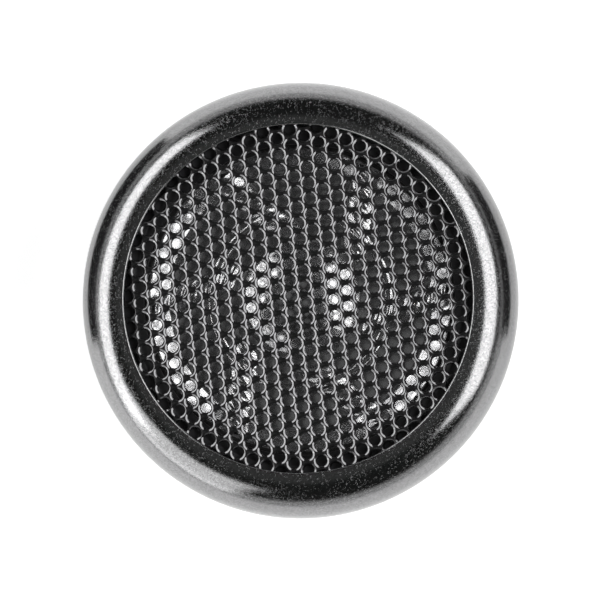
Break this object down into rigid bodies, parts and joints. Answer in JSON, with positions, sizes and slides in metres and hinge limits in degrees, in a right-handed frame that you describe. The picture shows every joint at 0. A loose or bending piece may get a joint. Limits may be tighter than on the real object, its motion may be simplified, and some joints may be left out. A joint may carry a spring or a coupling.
{
  "type": "car tweeter",
  "caption": "Round flush-mount car tweeter: satin chrome bezel, perforated dome grille, film diaphragm, clamp ring.",
  "frame": {"origin": "centre of the flat back, which the tweeter lies on", "axes": "+Z along the sound axis, out of the grille; the connector socket lies towards -Y"},
  "size_m": [0.048, 0.048, 0.02],
  "materials": {
    "bezel": "satin dark chrome with a fine pearl speckle",
    "grille": "glossy black enamel on perforated steel",
    "black_plastic": "moulded, fine grain",
    "grey_plastic": "moulded, smooth",
    "foam": "closed-cell foam",
    "felt": "pressed felt",
    "film": "metallised formed film, satin",
    "former": "amber polyimide film",
    "copper": "enamelled copper wire",
    "steel": "zinc plated",
    "magnet": "nickel plated",
    "terminals": "tinned brass",
    "red_wire": "insulated wire",
    "black_wire": "insulated wire",
    "capacitor": "shrink sleeve"
  },
  "bodies": {
    "tweeter": {"threaded_barrel": "black_plastic", "bezel_ring": "bezel", "grille": "grille", "grille_retainer": "black_plastic", "rim_foam": "foam", "diaphragm_ring": "grey_plastic", "surround": "film", "positive_coil_lead": "copper", "negative_coil_lead": "copper", "positive_solder_tab": "terminals", "negative_solder_tab": "terminals", "dome_felt": "felt", "rear_felt": "felt", "pole_plate": "steel", "magnet_disc": "magnet", "yoke_cup": "steel", "chassis": "black_plastic", "housing_screw_1": "steel", "housing_screw_2": "steel", "housing_screw_3": "steel", "connector_socket": "grey_plastic", "positive_blade": "terminals", "negative_blade": "terminals", "crossover_capacitor": "capacitor", "positive_input_wire": "red_wire", "positive_output_wire": "red_wire", "negative_wire": "black_wire", "panel_gasket": "foam"},
    "voice_coil": {"dome": "film", "coil_former": "former", "coil_winding": "copper"},
    "clamp_washer": {"pressure_washer": "steel"},
    "clamp_ring": {"clamp_nut": "black_plastic"}
  },
  "joints": [
    {"name": "coil_stroke", "type": "slide", "parent": "tweeter", "child": "voice_coil", "axis": [0, 0, 1], "range_m": [-0.0003, 0.0003], "stiffness_N_per_m": 200, "deforming": ["surround"]},
    {"name": "washer_travel", "type": "slide", "parent": "tweeter", "child": "clamp_washer", "axis": [0, 0, 1], "range_m": [-0.005, 0]},
    {"name": "nut_turn", "type": "hinge", "parent": "clamp_washer", "child": "clamp_ring", "pos_m": [0, 0, 0.00865], "axis": [0, 0, 1], "range_deg": [-720, 0]}
  ],
  "couplings": [
    {"joint": "washer_travel", "follows": "nut_turn", "m_per_rad": 0.00039789}
  ]
}
